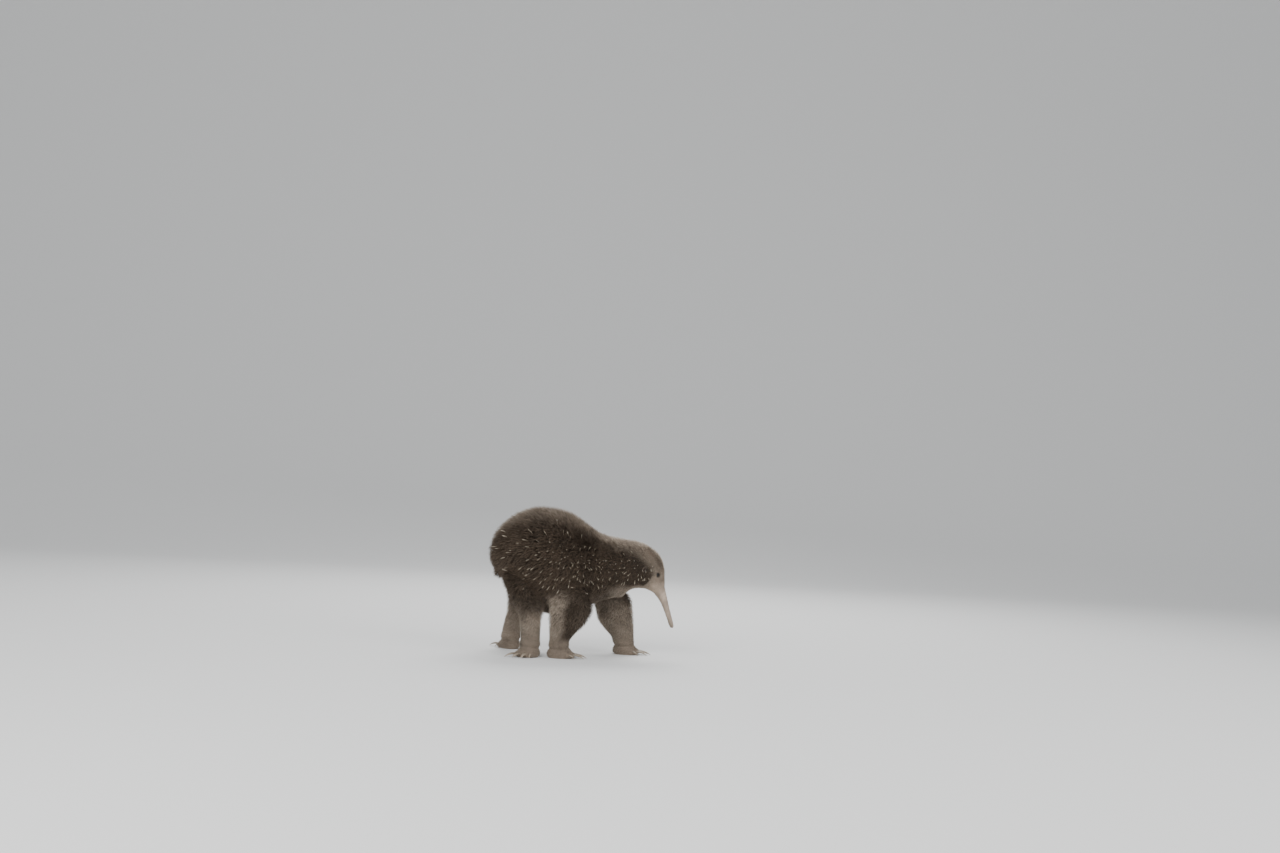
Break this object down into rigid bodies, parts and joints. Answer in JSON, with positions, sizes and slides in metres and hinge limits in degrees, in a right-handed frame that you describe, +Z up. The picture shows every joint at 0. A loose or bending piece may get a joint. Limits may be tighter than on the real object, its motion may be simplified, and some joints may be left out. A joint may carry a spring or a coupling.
{
  "type": "echidna",
  "caption": "Life-size still model of a walking long-beaked echidna: domed furry back, short spines, slender down-curved beak and clawed feet.",
  "frame": {"origin": "centre of the whole model's box, at the level of the soles", "axes": "+X towards the head, +Y to the animal's left, +Z up"},
  "size_m": [0.3394, 0.195, 0.2686],
  "materials": {
    "coat": "dark plush fur",
    "pale_fur": "short pale fur",
    "bare_skin": "bare wrinkled skin",
    "claw_horn": "satin horn",
    "eye": "glossy black"
  },
  "bodies": {
    "root": {"foreleg_right_upper": "coat", "foreleg_right_lower": "pale_fur", "foreleg_right_foot": "bare_skin", "foreleg_right_claw_1": "claw_horn", "foreleg_right_claw_2": "claw_horn", "foreleg_right_claw_3": "claw_horn", "foreleg_right_claw_4": "claw_horn", "foreleg_right_claw_5": "claw_horn", "foreleg_left_upper": "coat", "foreleg_left_lower": "pale_fur", "foreleg_left_foot": "bare_skin", "foreleg_left_claw_1": "claw_horn", "foreleg_left_claw_2": "claw_horn", "foreleg_left_claw_3": "claw_horn", "foreleg_left_claw_4": "claw_horn", "foreleg_left_claw_5": "claw_horn", "hindleg_right_upper": "coat", "hindleg_right_lower": "pale_fur", "hindleg_right_foot": "bare_skin", "hindleg_right_claw_1": "claw_horn", "hindleg_right_claw_2": "claw_horn", "hindleg_right_claw_3": "claw_horn", "hindleg_right_claw_4": "claw_horn", "hindleg_right_claw_5": "claw_horn", "hindleg_left_upper": "coat", "hindleg_left_lower": "pale_fur", "hindleg_left_foot": "bare_skin", "hindleg_left_claw_1": "claw_horn", "hindleg_left_claw_2": "claw_horn", "hindleg_left_claw_3": "claw_horn", "hindleg_left_claw_4": "claw_horn", "hindleg_left_claw_5": "claw_horn", "tail": "coat", "eye_right": "eye", "ear_right": "bare_skin", "eye_left": "eye", "ear_left": "bare_skin", "beak": "bare_skin", "head": "pale_fur", "neck": "coat", "torso": "coat"}
  },
  "joints": []
}
